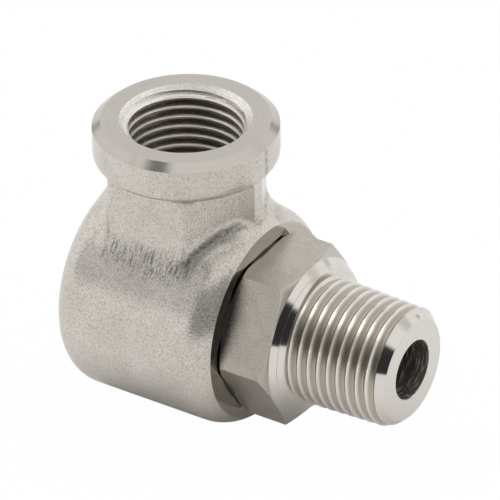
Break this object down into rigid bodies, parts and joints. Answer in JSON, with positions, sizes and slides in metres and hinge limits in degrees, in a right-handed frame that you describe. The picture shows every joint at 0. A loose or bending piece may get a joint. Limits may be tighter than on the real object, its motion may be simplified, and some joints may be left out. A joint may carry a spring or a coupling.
{
  "type": "swivel joint",
  "caption": "Right-angle pipe swivel joint: forged housing with a female pipe port and a ball-borne stem with a wrench hexagon and male pipe thread.",
  "frame": {"origin": "on the port's axis, where its countersink meets the threaded bore, 1.75 mm below the port's face", "axes": "+Z out of the female port, +X out of the male stem along the swivel axis, +Y to the side with the two ball loading plugs"},
  "size_m": [0.0594, 0.0377, 0.0532],
  "materials": {
    "blasted_steel": "blasted stainless steel forging",
    "turned_steel": "turned stainless steel, satin",
    "plug_steel": "plain steel",
    "ball_steel": "polished",
    "seal_rubber": "matte black rubber",
    "seal_plastic": "matte white plastic"
  },
  "bodies": {
    "housing": {"housing": "blasted_steel", "dust_seal": "seal_rubber", "front_race_plug": "plug_steel", "rear_race_plug": "plug_steel"},
    "stem": {"swivel_stem": "turned_steel", "pressure_o_ring": "seal_rubber", "backup_ring": "seal_plastic"},
    "front_ball_row": {"front_ball_01": "ball_steel", "front_ball_02": "ball_steel", "front_ball_03": "ball_steel", "front_ball_04": "ball_steel", "front_ball_05": "ball_steel", "front_ball_06": "ball_steel", "front_ball_07": "ball_steel", "front_ball_08": "ball_steel", "front_ball_09": "ball_steel", "front_ball_10": "ball_steel", "front_ball_11": "ball_steel", "front_ball_12": "ball_steel", "front_ball_13": "ball_steel", "front_ball_14": "ball_steel", "front_ball_15": "ball_steel", "front_ball_16": "ball_steel", "front_ball_17": "ball_steel", "front_ball_18": "ball_steel", "front_ball_19": "ball_steel"},
    "rear_ball_row": {"rear_ball_01": "ball_steel", "rear_ball_02": "ball_steel", "rear_ball_03": "ball_steel", "rear_ball_04": "ball_steel", "rear_ball_05": "ball_steel", "rear_ball_06": "ball_steel", "rear_ball_07": "ball_steel", "rear_ball_08": "ball_steel", "rear_ball_09": "ball_steel", "rear_ball_10": "ball_steel", "rear_ball_11": "ball_steel", "rear_ball_12": "ball_steel", "rear_ball_13": "ball_steel", "rear_ball_14": "ball_steel", "rear_ball_15": "ball_steel", "rear_ball_16": "ball_steel", "rear_ball_17": "ball_steel", "rear_ball_18": "ball_steel", "rear_ball_19": "ball_steel"}
  },
  "joints": [
    {"name": "stem_swivel", "type": "hinge", "parent": "housing", "child": "stem", "pos_m": [0, 0, -0.03255], "axis": [1, 0, 0], "continuous": true},
    {"name": "front_row_roll", "type": "hinge", "parent": "housing", "child": "front_ball_row", "pos_m": [0, 0, -0.03255], "axis": [1, 0, 0], "continuous": true},
    {"name": "rear_row_roll", "type": "hinge", "parent": "housing", "child": "rear_ball_row", "pos_m": [0, 0, -0.03255], "axis": [1, 0, 0], "continuous": true}
  ],
  "couplings": [
    {"joint": "front_row_roll", "follows": "stem_swivel", "ratio": 0.4206},
    {"joint": "rear_row_roll", "follows": "stem_swivel", "ratio": 0.4206}
  ]
}
